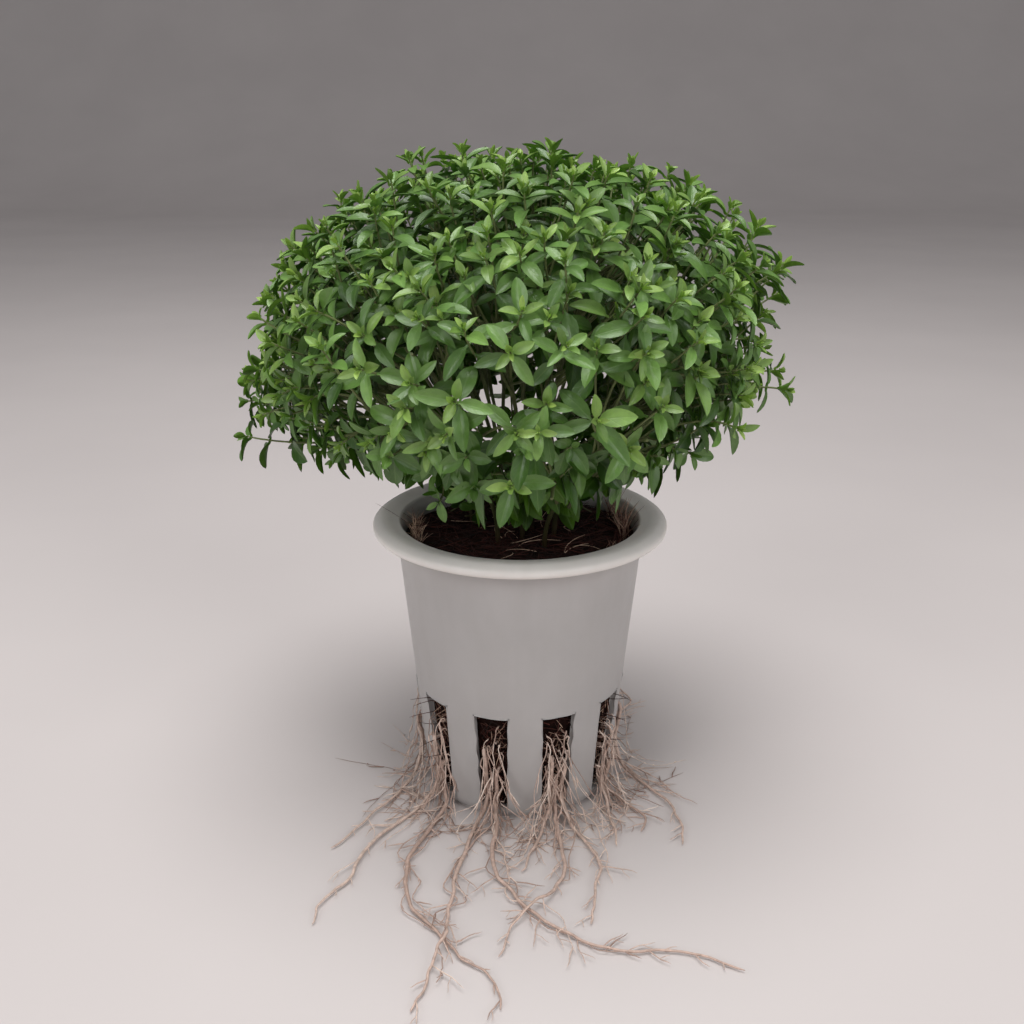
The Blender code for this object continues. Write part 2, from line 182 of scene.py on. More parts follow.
class Parts:
    """Collects vertices, faces, a four-value tag for each vertex and a material number for each face."""

    def __init__(self):
        self.points, self.tags, self.faces, self.numbers = [], [], [], []
        self.count = 0

    def add(self, points, faces, tags, numbers=None):
        points = np.asarray(points, float).reshape(-1, 3)
        tags = np.broadcast_to(np.asarray(tags, float), (len(points), 4))
        self.points.append(points)
        self.tags.append(tags)
        self.faces += [[i + self.count for i in face] for face in faces]
        self.numbers += list(numbers) if numbers is not None else [0] * len(faces)
        self.count += len(points)

    def make(self, name, materials, sharp=None):
        mesh = bpy.data.meshes.new(name)
        mesh.from_pydata(np.concatenate(self.points).tolist(), [], self.faces)
        for material in materials:
            mesh.materials.append(material)
        mesh.polygons.foreach_set("material_index", self.numbers)
        tag = mesh.color_attributes.new("tag", "FLOAT_COLOR", "POINT")
        tag.data.foreach_set("color", np.concatenate(self.tags).astype(np.float32).ravel())
        mesh.shade_smooth()
        if sharp:
            mesh.set_sharp_from_angle(angle=sharp)
        mesh.validate()
        return new_object(name, mesh)


def settle(piece, slot, *nodes):
    """Every piece rides on the only body and stands for nodes of the frame. The finish, slot, is not used.
    """
    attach(piece, "root")
    if nodes:
        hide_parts(*nodes)
    return piece


def add_tube(parts, route, radii, corners, tag, number=0):
    """Closed round tube along a route, given as an array of points. tag may vary along it."""
    route = np.asarray(route, float)
    count = len(route)
    ahead = np.gradient(route, axis=0)
    ahead /= np.linalg.norm(ahead, axis=1)[:, None] + 1e-12
    side = np.cross(ahead[0], (0.31, 0.17, 0.93))
    angles = 2 * pi * np.arange(corners) / corners
    points = []
    for k in range(count):
        side = side - ahead[k] * side.dot(ahead[k])
        side = side / (np.linalg.norm(side) + 1e-12)
        other = np.cross(ahead[k], side)
        points.append(route[k] + radii[k] * (np.cos(angles)[:, None] * side
                                             + np.sin(angles)[:, None] * other))
    faces = []
    for k in range(count - 1):
        for c in range(corners):
            d = (c + 1) % corners
            faces.append([k * corners + c, k * corners + d, (k + 1) * corners + d, (k + 1) * corners + c])
    faces.append(list(range(corners))[::-1])
    faces.append([(count - 1) * corners + c for c in range(corners)])
    tags = np.repeat(np.broadcast_to(np.asarray(tag, float), (count, 4)), corners, axis=0)
    parts.add(np.concatenate(points), faces, tags, [number] * len(faces))


def bend(start, middle, end, steps):
    """Points on a quadratic curve."""
    t = np.linspace(0, 1, steps)[:, None]
    return (1 - t) ** 2 * np.array(start) + 2 * t * (1 - t) * np.array(middle) + t ** 2 * np.array(end)


def smooth_route(control, steps):
    """Points along a Catmull-Rom curve through the control points."""
    control = [np.array(c, float) for c in control]
    padded = [2 * control[0] - control[1]] + control + [2 * control[-1] - control[-2]]
    route = []
    for a, b, c, d in zip(padded, padded[1:], padded[2:], padded[3:]):
        for t in np.arange(steps) / steps:
            route.append(0.5 * (2 * b + (c - a) * t + (2 * a - 5 * b + 4 * c - d) * t ** 2
                                + (3 * b - a - 3 * c + d) * t ** 3))
    route.append(control[-1])
    return np.array(route)


def unit(vector):
    """The vector, or each row of an array, at length one."""
    vector = np.asarray(vector, float)
    return vector / (np.linalg.norm(vector, axis=-1, keepdims=True) + 1e-12)


def distances(route):
    """How far along the route each of its points lies."""
    return np.concatenate([[0], np.cumsum(np.linalg.norm(np.diff(route, axis=0), axis=1))])


def outward_at(angle):
    """Level direction away from the pot's axis."""
    return np.array((cos(angle), sin(angle), 0))


def sideways_at(angle):
    """Level direction round the pot."""
    return np.array((-sin(angle), cos(angle), 0))


# ---- materials

def new_material(name):
    material = bpy.data.materials.new(name)
    material.use_nodes = True
    tree = material.node_tree
    return material, tree, tree.nodes["Principled BSDF"]


def add_node(tree, kind, **settings):
    node = tree.nodes.new(kind)
    for key, value in settings.items():
        setattr(node, key, value)
    return node


def feed(tree, value, socket):
    """Gives a socket a value, a colour or another node's output."""
    if isinstance(value, bpy.types.NodeSocket):
        tree.links.new(value, socket)
    else:
        socket.default_value = (*value, 1) if socket.type == "RGBA" else value


def dress(tree, node, **inputs):
    """Feeds a node's inputs by name, with an underscore for each space."""
    for name, value in inputs.items():
        feed(tree, value, node.inputs[name.replace("_", " ")])


def tag_channels(tree):
    """The four values of each vertex's tag."""
    tag = add_node(tree, "ShaderNodeAttribute", attribute_name="tag")
    split = add_node(tree, "ShaderNodeSeparateColor")
    feed(tree, tag.outputs["Color"], split.inputs[0])
    return split.outputs[0], split.outputs[1], split.outputs[2], tag.outputs["Alpha"]


def ramp(tree, source, stops):
    """Colours at places between 0 and 1, blended in between."""
    node = add_node(tree, "ShaderNodeValToRGB")
    elements = node.color_ramp.elements
    while len(elements) < len(stops):
        elements.new(0.5)
    for element, (place, colour) in zip(elements, stops):
        element.position = place
        element.color = (*colour, 1)
    feed(tree, source, node.inputs[0])
    return node.outputs[0]


def mix(tree, share, first, second, blend="MIX"):
    """A blend of two colours."""
    node = add_node(tree, "ShaderNodeMix", data_type="RGBA", blend_type=blend)
    for value, place in ((share, 0), (first, 6), (second, 7)):
        feed(tree, value, node.inputs[place])
    return node.outputs[2]


def tint(tree, colour, source, stops):
    """A colour multiplied by those of a ramp."""
    return mix(tree, 1.0, colour, ramp(tree, source, stops), "MULTIPLY")


def number(tree, operation, first, second=0.0):
    """A sum on two numbers."""
    node = add_node(tree, "ShaderNodeMath", operation=operation)
    for value, socket in zip((first, second), node.inputs):
        feed(tree, value, socket)
    return node.outputs[0]


def weighed(tree, *terms):
    """The sum of values, each times its weight."""
    total = 0.0
    for value, weight in terms:
        total = number(tree, "ADD", number(tree, "MULTIPLY", value, weight), total)
    return total


def noise(tree, scale, detail=3.0, roughness=0.55, stretch=(1, 1, 1)):
    """Cloudy noise fixed to the piece."""
    place = add_node(tree, "ShaderNodeTexCoord")
    mapping = add_node(tree, "ShaderNodeMapping")
    dress(tree, mapping, Vector=place.outputs["Object"], Scale=stretch)
    node = add_node(tree, "ShaderNodeTexNoise")
    dress(tree, node, Vector=mapping.outputs[0], Scale=scale, Detail=detail, Roughness=roughness)
    return node.outputs[0]


def height_share(tree):
    """Height above the surface as a share of the pot's height."""
    place = add_node(tree, "ShaderNodeTexCoord")
    split = add_node(tree, "ShaderNodeSeparateXYZ")
    feed(tree, place.outputs["Object"], split.inputs[0])
    return number(tree, "DIVIDE", split.outputs[2], POT_HEIGHT)


def add_bump(tree, shader, height, strength, distance):
    node = add_node(tree, "ShaderNodeBump")
    dress(tree, node, Strength=strength, Distance=distance, Height=height)
    dress(tree, shader, Normal=node.outputs[0])
    return node.outputs[0]


def grey(value):
    return (value,) * 3


def add_glow(tree, shader, colour, normal):
    """Lets some of the light through the leaf, yellower than the light it sends back."""
    through = add_node(tree, "ShaderNodeBsdfTranslucent")
    dress(tree, through, Color=mix(tree, 1.0, colour, GLOW_TINT, "MULTIPLY"), Normal=normal)
    both = add_node(tree, "ShaderNodeMixShader")
    for value, socket in zip((GLOW_SHARE, shader.outputs[0], through.outputs[0]), both.inputs):
        feed(tree, value, socket)
    feed(tree, both.outputs[0], tree.nodes["Material Output"].inputs["Surface"])


def leaf_material(name, colours, underside=False):
    """Satin leaf with a pale midrib and faint side veins. It darkens with age.
    Tag: age, chance, distance from the midrib, distance along the leaf."""
    material, tree, shader = new_material(name)
    age, luck, across, along = tag_channels(tree)
    colour = ramp(tree, age, tuple(zip((0.0, 0.45, 1.0), colours)))
    colour = tint(tree, colour, luck, ((0.0, (0.60, 0.66, 0.60)), (0.5, grey(1)), (1.0, (1.34, 1.26, 1.40))))
    colour = tint(tree, colour, noise(tree, 700, 4), ((0.3, (0.86, 0.88, 0.86)), (0.7, (1.12, 1.10, 1.12))))
    rib = ramp(tree, across, ((0.0, grey(1)), (0.13, grey(0))))
    slant = number(tree, "SUBTRACT", along, number(tree, "MULTIPLY", across, 0.30))
    wave = number(tree, "SINE", number(tree, "MULTIPLY", slant, 2 * pi * SIDE_VEINS))
    vein = ramp(tree, wave, ((0.88, grey(0)), (1.0, grey(1))))
    pale = mix(tree, 0.5, colour, (0.28, 0.42, 0.15))
    colour = mix(tree, number(tree, "MULTIPLY", vein, 0.14), colour, pale)
    colour = mix(tree, number(tree, "MULTIPLY", rib, 0.75 if underside else 0.45), colour, pale)
    grain = noise(tree, 2200, 2)
    normal = add_bump(tree, shader, weighed(tree, (vein, -0.5), (rib, -0.8), (grain, 0.30)), 0.30, 0.12 * MM)
    worn = ramp(tree, grain, ((0.2, grey(0.30)), (0.8, grey(0.44))))
    dress(tree, shader, Base_Color=colour, Roughness=worn, Specular_IOR_Level=0.25 if underside else 0.85,
          Sheen_Weight=0.09, Sheen_Roughness=0.4)
    add_glow(tree, shader, colour, normal)
    return material


def strand_material(name, colours, scale, roughness, bump, woody_and_shaded_base=False):
    """Stems, roots and fibres. The tag's first value is the shade. Stems with a dark base darken near the
    coir: partly woody bark, partly painted shade under the leaves.
    """
    material, tree, shader = new_material(name)
    colour = ramp(tree, tag_channels(tree)[0], tuple(zip((0.0, 0.5, 1.0), colours)))
    speck = noise(tree, scale, 4, 0.6)
    colour = tint(tree, colour, speck, ((0.3, (0.72, 0.70, 0.68)), (0.7, (1.18, 1.16, 1.12))))
    if woody_and_shaded_base:
        # Partly woody bark, partly painted shade: dark brown at the coir, fading to the stem's own colour a
        # little above it.
        height = number(tree, "MULTIPLY", height_share(tree), 0.5)
        colour = tint(tree, colour, height, ((0.48, (0.16, 0.09, 0.06)), (0.64, grey(1))))
    worn = ramp(tree, speck, ((0.2, grey(roughness - 0.12)), (0.8, grey(roughness + 0.1))))
    dress(tree, shader, Base_Color=colour, Roughness=worn, Specular_IOR_Level=0.3)
    add_bump(tree, shader, speck, bump, 0.1 * MM)
    return material


def pot_material():
    """White moulded plastic: satin, a little milky, with faint flow marks, dust and fine scuffs, and painted
    light on the lip.
    """
    material, tree, shader = new_material("white_plastic")
    cloud = noise(tree, 60, 4, 0.6)
    flow = noise(tree, 260, 3, 0.5, (1, 1, 0.25))
    scuffs = noise(tree, 1500, 3, 0.6, (1, 1, 0.3))
    colour = ramp(tree, cloud, ((0.25, (0.430, 0.410, 0.402)), (0.75, (0.470, 0.449, 0.440))))
    # Painted light: the lip and the top of the wall are painted lighter, standing in for the light that the
    # leaves above keep off them.
    colour = tint(tree, colour, height_share(tree), ((0.93, grey(1)), (0.965, (1.78, 1.77, 1.72))))
    colour = tint(tree, colour, flow, ((0.35, (0.975, 0.972, 0.968)), (0.65, grey(1.01))))
    rough = number(tree, "ADD", weighed(tree, (scuffs, 0.18), (cloud, 0.14)), 0.24)
    add_bump(tree, shader, weighed(tree, (flow, 0.5), (scuffs, 0.3)), 0.06, 0.10 * MM)
    dress(tree, shader, Base_Color=colour, Roughness=rough, Specular_IOR_Level=0.45, Subsurface_Weight=0.10,
          Subsurface_Radius=(0.9, 0.8, 0.7), Subsurface_Scale=1.0 * MM)
    return material


def soil_material():
    """Packed coir between the fibres: nearly black, with reddish crumbs."""
    material, tree, shader = new_material("coir_mass")
    crumbs = noise(tree, 700, 6, 0.7)
    colour = ramp(tree, crumbs, ((0.3, (0.003, 0.002, 0.001)), (0.6, (0.020, 0.006, 0.004)),
                                 (0.8, (0.075, 0.020, 0.014))))
    dress(tree, shader, Base_Color=colour, Roughness=0.95, Specular_IOR_Level=0.15)
    add_bump(tree, shader, crumbs, 1.0, 0.8 * MM)
    return material


def floor_material():
    """Matte warm grey."""
    material, tree, shader = new_material("pale_floor")
    colour = ramp(tree, noise(tree, 6, 3), ((0.3, (0.585, 0.535, 0.522)), (0.7, (0.620, 0.568, 0.553))))
    dress(tree, shader, Base_Color=colour, Roughness=0.7, Specular_IOR_Level=0.2)
    return material


# ---- net pot

def outer_radius(height):
    """Outer wall of the pot's plain cone."""
    return FOOT_RADIUS + (TOP_RADIUS - FOOT_RADIUS) * height / (POT_HEIGHT - LIP_THICKNESS)


def slot_half_width(height):
    """Half the opening between two ribs of the same width from top to bottom."""
    height = min(max(height, SLOT_BOTTOM), SLOT_TOP)
    return outer_radius(height) * sin(pi / SLOT_COUNT) - RIB_WIDTH / 2 * cos(pi / SLOT_COUNT)


def slot_angle(index):
    """Heading of a slot's middle. Slots 9 and 0 are the two at the front."""
    return -pi / 2 + POT_TURN + (index + 0.5) * 2 * pi / SLOT_COUNT


def spread(low, high, steps):
    """Evenly spaced values from low to high."""
    return [low + (high - low) * k / steps for k in range(steps + 1)]


def arc(centre_r, centre_z, radius, start, end, steps):
    """Points (radius, height) on an arc of the section, between two angles in degrees."""
    return [(centre_r + radius * cos(radians(a)), centre_z + radius * sin(radians(a)))
            for a in spread(start, end, steps)]


def lip_top(radius):
    """Height of the lip's crowned top."""
    middle = (LIP_RADIUS + TOP_RADIUS) / 2
    return POT_HEIGHT - LIP_CROWN * (2 * (radius - middle) / (LIP_RADIUS - TOP_RADIUS)) ** 2


def foot_rows():
    """The recessed foot's edge and the step out to the wall."""
    foot = FOOT_RADIUS - FOOT_RECESS
    step = 0.2 * MM
    wall = outer_radius(FOOT_HEIGHT)
    return [(foot - FOOT_FILLET, 0), (foot, FOOT_FILLET), (foot, FOOT_HEIGHT - step),
            (foot + step, FOOT_HEIGHT), (wall - FOOT_FILLET, FOOT_HEIGHT), (wall, FOOT_HEIGHT + FOOT_FILLET)]


def lip_rows():
    """The fillet under the lip, its rounded edge, its top and the rounding into the pot."""
    under = POT_HEIGHT - LIP_THICKNESS
    edge = LIP_THICKNESS / 2
    rows = arc(outer_radius(under) + LIP_FILLET, under - LIP_FILLET, LIP_FILLET, 150, 90, 3)
    rows += arc(LIP_RADIUS - edge, under - LIP_CROWN + edge, edge, -90, 65, 9)
    rows += [(r, lip_top(r)) for r in spread(LIP_RADIUS - 1.4 * MM, TOP_RADIUS + 0.2 * MM, 4)]
    inside = outer_radius(POT_HEIGHT) - WALL
    return rows + arc(inside + LIP_EDGE, POT_HEIGHT - LIP_CROWN - LIP_EDGE, LIP_EDGE, 100, 180, 5)


def pot_rows():
    """The turned section as rows (radius, height), from under the floor, up the outside and down inside.
    Also the row numbers between which the slots and the drains are open, outside and inside."""
    slots = spread(SLOT_BOTTOM, SLOT_TOP, 8)
    drains = spread(DRAIN_START, DRAIN_END, 3)
    rows = [(2 * MM, 0)]
    drain_out = len(rows)
    rows += [(r, 0) for r in drains]
    rows += foot_rows()
    slot_out = len(rows)
    rows += [(outer_radius(z), z) for z in slots]
    rows += [(outer_radius(z), z) for z in spread(PLAIN_START, POT_HEIGHT - LIP_THICKNESS - LIP_FILLET, 6)]
    rows += lip_rows()
    rows += [(outer_radius(z) - WALL, z) for z in spread(POT_HEIGHT - 4 * MM, PLAIN_START, 5)]
    slot_in = len(rows)
    rows += [(outer_radius(z) - WALL, z) for z in reversed(slots)]
    inside = outer_radius(FLOOR) - WALL
    rows += [(inside, FLOOR + 0.2 * MM), (inside - 0.4 * MM, FLOOR)]
    drain_in = len(rows)
    rows += [(r, FLOOR) for r in reversed(drains)]
    rows += [(2 * MM, FLOOR)]
    return rows, (slot_out, slot_in, len(slots)), (drain_out, drain_in, len(drains))


def pot_points(rows):
    """Each row's points: across each slot, then across the rib beside it."""
    points = []
    for radius, height in rows:
        drained = height in (0, FLOOR) and radius <= DRAIN_END
        half = DRAIN_WIDTH / 2 if drained else slot_half_width(height)
        open_angle = np.arcsin(min(half / radius, sin(pi / SLOT_COUNT) * 0.75))
        rest = 2 * pi / SLOT_COUNT - 2 * open_angle
        for slot in range(SLOT_COUNT):
            middle = slot_angle(slot)
            across = [middle - open_angle + 2 * open_angle * k / SLOT_CELLS for k in range(SLOT_CELLS)]
            beside = [middle + open_angle + rest * k / RIB_CELLS for k in range(RIB_CELLS)]
            points += [(radius * cos(a), radius * sin(a), height) for a in across + beside]
    return points


def opening_walls(at, left, first, second, count):
    """The four walls through the pot of one slot or drain, from its outer rows to its inner ones."""
    partner = {first + k: second + count - 1 - k for k in range(count)}
    right = left + SLOT_CELLS
    low, high = first, first + count - 1
    faces = []
    for row in range(low, high):
        here, above = partner[row], partner[row + 1]
        faces.append([at(row, left), at(row + 1, left), at(above, left), at(here, left)])
        faces.append([at(row + 1, right), at(row, right), at(here, right), at(above, right)])
    for column in range(left, right):
        below, above = partner[low], partner[high]
        faces.append([at(low, column + 1), at(low, column), at(below, column), at(below, column + 1)])
        faces.append([at(high, column), at(high, column + 1), at(above, column + 1), at(above, column)])
    return faces


def make_pot(material):
    """The cup in one closed skin, with its slots and drains cut right through."""
    rows, slot_zone, drain_zone = pot_rows()
    cells = SLOT_CELLS + RIB_CELLS
    columns = SLOT_COUNT * cells
    zones = [(start, count) for *starts, count in (slot_zone, drain_zone) for start in starts]
    points = pot_points(rows)

    def at(row, column):
        return row * columns + column % columns

    def is_open(row, column):
        in_zone = any(start <= row < start + count - 1 for start, count in zones)
        return in_zone and column % cells < SLOT_CELLS

    faces = [[at(r, c), at(r, c + 1), at(r + 1, c + 1), at(r + 1, c)]
             for r in range(len(rows) - 1) for c in range(columns) if not is_open(r, c)]
    for zone in (slot_zone, drain_zone):
        for slot in range(SLOT_COUNT):
            faces += opening_walls(at, slot * cells, *zone)
    base = len(points)
    points += [(0, 0, 0), (0, 0, FLOOR)]
    last = len(rows) - 1
    faces += [[base, at(0, c + 1), at(0, c)] for c in range(columns)]
    faces += [[base + 1, at(last, c), at(last, c + 1)] for c in range(columns)]
    parts = Parts()
    parts.add(points, faces, (0, 0, 0, 1))
    pot = parts.make("moulded_net_pot", [material], radians(50))
    rounding = pot.modifiers.new("rounded_edges", "BEVEL")
    rounding.width = EDGE_ROUNDING
    rounding.segments = 2
    rounding.limit_method = "ANGLE"
    rounding.angle_limit = radians(50)
    rounding.harden_normals = True
    return settle(pot, "pot_plastic", "net_pot")


# ---- coir

def coir_surface(radius, angle):
    """Height of the uneven top of the coir."""
    lump = 0.5 * sin(5 * angle + 260 * radius) + 0.5 * sin(3 * angle - 410 * radius)
    return COIR_TOP - 0.3 * MM + 0.6 * MM * lump - 0.8 * MM * (radius / COIR_RADIUS) ** 4


def make_coir(material):
    """The packed fibre mass: it fills the pot and bulges a little into the slots."""
    parts = Parts()
    around = COIR_CELLS
    angles = [2 * pi * k / around for k in range(around)]
    points = []
    for z in spread(FLOOR + 0.3 * MM, COIR_TOP - 1.5 * MM, 40):
        wall = outer_radius(z) - WALL - COIR_CLEARANCE
        for angle in angles:
            rough = COIR_ROUGHNESS * (sin(23 * angle + 900 * z) + sin(31 * angle - 1300 * z)) / 2
            radius = wall + rough - COIR_ROUGHNESS
            points.append((radius * cos(angle), radius * sin(angle), z))
    top_radius = outer_radius(COIR_TOP) - WALL - 0.5 * MM
    for share in (1.0, 0.86, 0.72, 0.58, 0.44, 0.30, 0.15):
        radius = top_radius * share
        points += [(radius * cos(a), radius * sin(a), coir_surface(radius, a)) for a in angles]
    count = len(points) // around
    faces = []
    for low in range(0, (count - 1) * around, around):
        high = low + around
        faces += [[low + k, low + (k + 1) % around, high + (k + 1) % around, high + k]
                  for k in range(around)]
    faces.append(list(range(around))[::-1])
    faces.append([(count - 1) * around + k for k in range(around)])
    parts.add(points, faces, (0, 0, 0, 1))
    return settle(parts.make("coir_mass", [material], radians(60)), "coir", "coir_plug")


def add_fibre(parts, start, heading, length, rise, curl, radius, shade):
    """One curved fibre that leaves start along heading and bends sideways and up or down."""
    t = np.linspace(0, 1, 6)[:, None]
    heading = unit(heading)
    side = unit(np.cross(heading, (0, 0, 1)) + 1e-6)
    route = np.array(start) + heading * length * t + side * curl * length * t ** 2
    route = route + np.array(UP) * rise * t ** 2
    taper = np.array((1, 1, 0.95, 0.85, 0.65, 0.3))
    add_tube(parts, route, radius * taper, 3, (shade, chance.random(), 0, 1))


def on_coir(radius, angle, lift):
    """A point at a height above the uneven top of the coir."""
    return (radius * cos(angle), radius * sin(angle), coir_surface(radius, angle) + lift)


def add_loose_fibres(parts):
    """Dark fibres matted on top of the coir. Those that would reach the wall are left out."""
    for _ in range(LOOSE_FIBRES):
        radius = (COIR_RADIUS - 2.2 * MM) * sqrt(chance.random())
        angle = 2 * pi * chance.random()
        start = on_coir(radius, angle, chance.uniform(-0.3, 0.5) * MM)
        turn = 2 * pi * chance.random()
        length = chance.uniform(2.5, 8) * MM
        heading = (cos(turn), sin(turn), chance.uniform(-0.15, 0.25))
        if hypot(start[0] + length * cos(turn), start[1] + length * sin(turn)) > COIR_RADIUS - 1.2 * MM:
            continue
        add_fibre(parts, start, heading, length, chance.uniform(-0.6, 1.0) * MM, chance.uniform(-0.35, 0.35),
                  chance.uniform(0.05, 0.13) * MM, 0.42 * chance.beta(1.2, 2.2))


def add_pale_fibres(parts):
    """A few pale curled fibres that lie on top of the dark ones."""
    for _ in range(PALE_FIBRES):
        radius = (COIR_RADIUS - 7 * MM) * sqrt(chance.random())
        start = on_coir(radius, 2 * pi * chance.random(), 0.4 * MM)
        turn = 2 * pi * chance.random()
        add_fibre(parts, start, (cos(turn), sin(turn), 0.3), chance.uniform(4, 7) * MM,
                  chance.uniform(-1, 0.5) * MM, chance.choice((-1, 1)) * chance.uniform(0.4, 1.0), 0.07 * MM,
                  chance.uniform(0.8, 1.0))


def add_tufts(parts):
    """Frayed tufts that stand up between the coir and the wall."""
    for middle, width, count, lift, palest in FIBRE_TUFTS:
        for _ in range(count):
            angle = middle + width * chance.uniform(-0.5, 0.5)
            start = on_coir(COIR_RADIUS - chance.uniform(1.2, 3.0) * MM, angle, -0.5 * MM)
            heading = sideways_at(angle) * chance.normal(0, 0.7) + (0, 0, 1.0)
            add_fibre(parts, start, heading, chance.uniform(0.5, 1.0) * lift * MM,
                      -0.6 * MM * chance.random(), chance.uniform(-0.5, 0.5),
                      chance.uniform(0.05, 0.09) * MM, palest - chance.uniform(0, 0.55))


def add_slot_fibres(parts, slot):
    """Fibres that cross one slot just behind the ribs. Each stops short of the slot's sides and ends."""
    for _ in range(SLOT_FIBRES):
        z = chance.uniform(SLOT_BOTTOM + 0.4 * MM, SLOT_TOP - 0.4 * MM)
        half = slot_half_width(z) - 0.3 * MM
        radius = outer_radius(z) - WALL - 0.3 * MM + chance.uniform(0, 0.5) * MM
        offset = chance.uniform(-1, 1) * half
        angle = slot_angle(slot) + offset / radius
        turn = chance.uniform(0, 2 * pi)
        length = chance.uniform(1.5, 4.5) * MM
        room = half - offset * np.sign(cos(turn))
        length = min(length, room / (abs(cos(turn)) + 0.05))
        outward = outward_at(angle)
        heading = sideways_at(angle) * cos(turn) + UP * sin(turn) + outward * chance.uniform(0.0, 0.28)
        if not SLOT_BOTTOM < z + length * sin(turn) < SLOT_TOP:
            continue
        start = outward * radius + (0, 0, z)
        add_fibre(parts, start, heading, length, -0.4 * MM * chance.random(), chance.uniform(-0.2, 0.2),
                  chance.uniform(0.05, 0.12) * MM, chance.beta(1.4, 1.8))


def add_hairs(parts):
    """Single hairs over the lip, and dark ones that stand out sideways from the side slots."""
    for angle in LIP_HAIRS:
        outward = outward_at(angle)
        start = outward * (COIR_RADIUS - 1.2 * MM) + UP * (COIR_TOP + 1 * MM)
        add_fibre(parts, start, outward + UP * chance.uniform(0.7, 1.1), chance.uniform(7, 10) * MM,
                  chance.uniform(-4, -2) * MM, chance.uniform(-0.4, 0.4), 0.05 * MM, 0.45)
    for slot in HAIRY_SLOTS:
        for z in np.linspace(SLOT_BOTTOM + 6 * MM, SLOT_TOP + 1.5 * MM, SIDE_HAIRS):
            angle = slot_angle(slot) + chance.uniform(-0.12, 0.12)
            outward = outward_at(angle)
            start = outward * (outer_radius(z) - WALL) + (0, 0, min(z, SLOT_TOP - 0.8 * MM))
            heading = outward + (np.sign(cos(angle)) * 0.8, 0, chance.uniform(-0.1, 0.4))
            add_fibre(parts, start, heading, chance.uniform(4, 7) * MM, chance.uniform(-1, 0.5) * MM,
                      chance.uniform(-0.3, 0.3), 0.09 * MM, chance.uniform(0.1, 0.4))


def make_coir_fibres(material):
    """All the loose fibres: on the coir, along the wall, across the slots and out of the pot."""
    parts = Parts()
    add_loose_fibres(parts)
    add_pale_fibres(parts)
    add_tufts(parts)
    for slot in range(SLOT_COUNT):
        add_slot_fibres(parts, slot)
    add_hairs(parts)
    return settle(parts.make("coir_fibres", [material]), "coir", "coir_plug")


# ---- leaves

STATIONS = np.array((0, 0.10, 0.20, 0.34, 0.50, 0.66, 0.80, 0.92, 1.0))
BASE_ROUNDNESS = 0.62
TIP_ROUNDNESS = 0.80
ACROSS = np.array((-1.0, -0.5, 0.0, 0.5, 1.0))


def leaf_faces():
    """A closed thin blade: five rows of points on top, three beneath that share its edges, and one tip."""
    rows = len(STATIONS) - 1
    under = rows * 5
    tip = rows * 8

    def top(j, k):
        return j * 5 + k

    def below(j, k):
        return top(j, k) if k in (0, 4) else under + j * 3 + k - 1

    faces, numbers = [], []
    for j in range(rows):
        for k in range(4):
            if j < rows - 1:
                upper = [top(j, k), top(j + 1, k), top(j + 1, k + 1), top(j, k + 1)]
                lower = [below(j, k + 1), below(j + 1, k + 1), below(j + 1, k), below(j, k)]
            else:
                upper = [top(j, k), tip, top(j, k + 1)]
                lower = [below(j, k + 1), tip, below(j, k)]
            faces += [upper, lower]
            numbers += [0, 1]
    faces.append([top(0, k) for k in range(5)] + [below(0, k) for k in (3, 2, 1)])
    numbers.append(0)
    return faces, numbers


LEAF_FACES, LEAF_NUMBERS = leaf_faces()


def blade_width(u):
    """Half width along the leaf as a share of its widest: a short stalk, then an oval drawn to a point."""
    v = np.clip((u - 0.10) / 0.90, 0, 1)
    blade = v ** BASE_ROUNDNESS * (1 - v) ** TIP_ROUNDNESS
    widest = BASE_ROUNDNESS / (BASE_ROUNDNESS + TIP_ROUNDNESS)
    return blade / (widest ** BASE_ROUNDNESS * (1 - widest) ** TIP_ROUNDNESS)


def add_leaf(parts, base, ahead, outward, length, width, lift, arch, droop, roll, fold, age):
    """A leaf from base. It turns from the stem's way ahead towards outward, is raised by lift and arches."""
    ahead = unit(ahead)
    outward = unit(outward - ahead * outward.dot(ahead))
    across = np.cross(ahead, outward)
    angle = lift - arch * STATIONS ** 1.2
    along = np.cos(angle)[:, None] * outward + np.sin(angle)[:, None] * ahead
    normal = np.cos(angle)[:, None] * ahead - np.sin(angle)[:, None] * outward
    step = np.diff(STATIONS, prepend=0)[:, None] * length
    middle = base + np.cumsum(along * step, axis=0)
    middle[:, 2] -= droop * length * STATIONS ** 2
    turned = roll * STATIONS
    wide = np.cos(turned)[:, None] * across + np.sin(turned)[:, None] * normal
    high = np.cos(turned)[:, None] * normal - np.sin(turned)[:, None] * across
    half = blade_width(STATIONS) * width / 2
    half[0] = half[1] = min(0.22 * MM, width * 0.12)
    rows = len(STATIONS) - 1
    side = np.abs(ACROSS)
    offset = half[:rows, None] * ACROSS[None, :]
    raised = half[:rows, None] * fold * (0.35 * side + 0.50 * ACROSS ** 2)[None, :]
    top = (middle[:rows, None] + wide[:rows, None] * offset[..., None]
           + high[:rows, None] * raised[..., None])
    thick = np.array((0.10, 0.18, 0.10)) * MM
    thick = thick * np.where(STATIONS[:rows] < 0.15, 2.0, 1.0)[:, None]
    under = top[:, 1:4] - high[:rows, None] * thick[..., None]
    points = np.concatenate([top.reshape(-1, 3), under.reshape(-1, 3), middle[-1:]])
    tags_top = np.empty((rows, 5, 4))
    luck = chance.random()
    tags_top[...] = (age, luck, 0, 0)
    tags_top[:, :, 2] = side[None, :]
    tags_top[:, :, 3] = STATIONS[:rows, None]
    tags = np.concatenate([tags_top.reshape(-1, 4), tags_top[:, 1:4].reshape(-1, 4), [(age, luck, 0, 1)]])
    parts.add(points, LEAF_FACES, tags, LEAF_NUMBERS)


